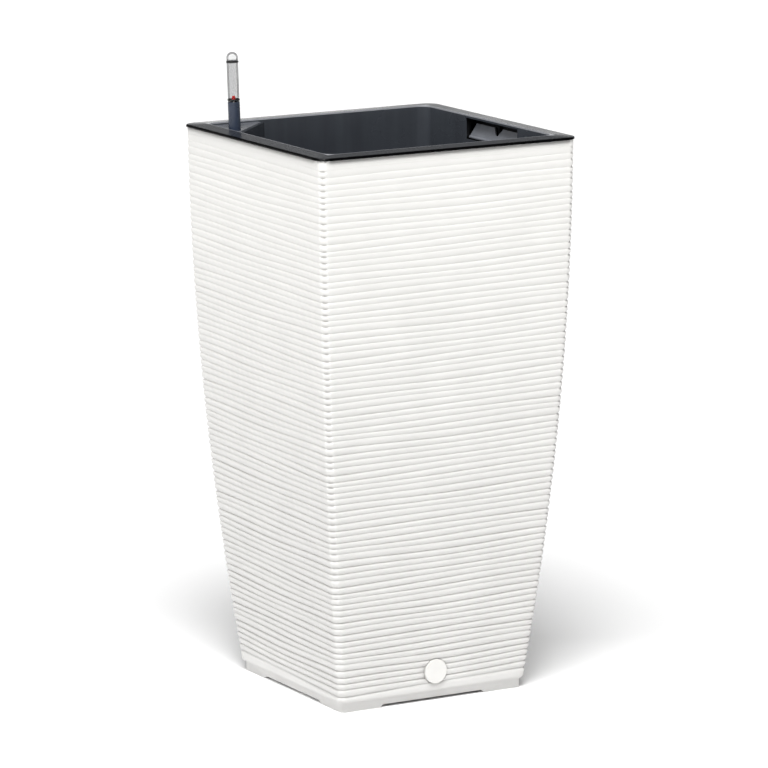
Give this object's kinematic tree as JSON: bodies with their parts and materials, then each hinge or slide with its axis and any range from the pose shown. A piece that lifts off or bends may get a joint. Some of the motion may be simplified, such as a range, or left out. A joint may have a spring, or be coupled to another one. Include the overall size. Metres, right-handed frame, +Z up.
{
  "type": "self watering planter",
  "caption": "Tall square tapered planter with ribbed walls, a lift-out liner over a water reservoir, a corner float level indicator and a drain plug.",
  "frame": {"origin": "middle of the base, on the surface the four feet stand on", "axes": "+Z up; -Y out of the wall with the drain plug; the level indicator stands in the -X, +Y corner"},
  "size_m": [0.395, 0.395, 0.8648],
  "materials": {
    "pot_white": "satin moulded",
    "plug_white": "satin moulded",
    "seal_rubber": "matte",
    "liner_anthracite": "fine moulded grain",
    "cover_anthracite": "satin",
    "flap_grey": "satin",
    "rod_grey": "satin",
    "separator_black": "matte",
    "tube_slate": "gloss",
    "clear": "clear gloss",
    "ring_black": "satin",
    "float_foam": "matte foam",
    "rod_white": "satin",
    "tip_red": "gloss"
  },
  "bodies": {
    "pot": {"outer_pot": "pot_white"},
    "drain_plug": {"drain_plug": "plug_white", "drain_plug_seal": "seal_rubber"},
    "liner": {"liner": "liner_anthracite", "flap_rod_left": "rod_grey", "flap_rod_right": "rod_grey"},
    "liner_plug": {"liner_plug": "separator_black", "liner_plug_seal": "seal_rubber"},
    "flap_left": {"grip_flap_left": "flap_grey"},
    "flap_right": {"grip_flap_right": "flap_grey"},
    "shaft_cover": {"shaft_cover": "cover_anthracite"},
    "separator": {"separator_plate": "separator_black", "wick_cup_front_left": "separator_black", "wick_cup_front_right": "separator_black", "wick_cup_back_right": "separator_black", "wick_cup_back_left": "separator_black"},
    "indicator": {"indicator_tube": "tube_slate", "indicator_foot": "tube_slate", "sight_tube": "clear", "sight_cap": "clear", "min_ring": "ring_black", "max_ring": "ring_black"},
    "float": {"float_body": "float_foam", "float_rod": "rod_white", "float_tip": "tip_red"}
  },
  "joints": [
    {"name": "liner_lift", "type": "slide", "parent": "pot", "child": "liner", "axis": [0, 0, 1], "range_m": [0, 0.4]},
    {"name": "drain_plug_pull", "type": "slide", "parent": "pot", "child": "drain_plug", "axis": [0, -1, 0], "range_m": [0, 0.04]},
    {"name": "liner_plug_pull", "type": "slide", "parent": "liner", "child": "liner_plug", "axis": [0, 0, -1], "range_m": [0, 0.03]},
    {"name": "flap_left_hinge", "type": "hinge", "parent": "liner", "child": "flap_left", "pos_m": [-0.179, 0, 0.7305], "axis": [0, 1, 0], "range_deg": [0, 108]},
    {"name": "flap_right_hinge", "type": "hinge", "parent": "liner", "child": "flap_right", "pos_m": [0.179, 0, 0.7305], "axis": [0, -1, 0], "range_deg": [0, 108]},
    {"name": "cover_lift", "type": "slide", "parent": "liner", "child": "shaft_cover", "axis": [-0.0185, 0.0185, 0.9997], "range_m": [0, 0.12]},
    {"name": "separator_lift", "type": "slide", "parent": "liner", "child": "separator", "axis": [0, 0, 1], "range_m": [0, 0.39]},
    {"name": "indicator_pull", "type": "slide", "parent": "liner", "child": "indicator", "axis": [-0.0185, 0.0185, 0.9997], "range_m": [0, 0.385]},
    {"name": "float_rise", "type": "slide", "parent": "indicator", "child": "float", "axis": [-0.0185, 0.0185, 0.9997], "range_m": [0, 0.051]}
  ]
}
